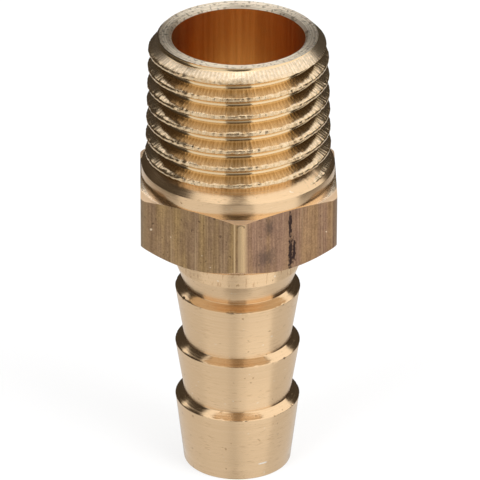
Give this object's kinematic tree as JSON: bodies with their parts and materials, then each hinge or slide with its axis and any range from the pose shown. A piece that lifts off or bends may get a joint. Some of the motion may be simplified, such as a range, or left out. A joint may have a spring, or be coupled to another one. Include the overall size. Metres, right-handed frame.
{
  "type": "hose barb tail",
  "caption": "Brass hose barb tail: male taper pipe thread, collar, hexagon and ringed hose barb, bored through from end to end.",
  "frame": {"origin": "centre of the barb end, the face that it stands on", "axes": "+Z along the bore towards the threaded end, -Y towards one corner of the hexagon, +X square to one flat"},
  "size_m": [0.014, 0.0158, 0.034],
  "materials": {
    "brass": "machined, satin"
  },
  "bodies": {
    "root": {"hose_barb_tail": "brass"}
  },
  "joints": []
}
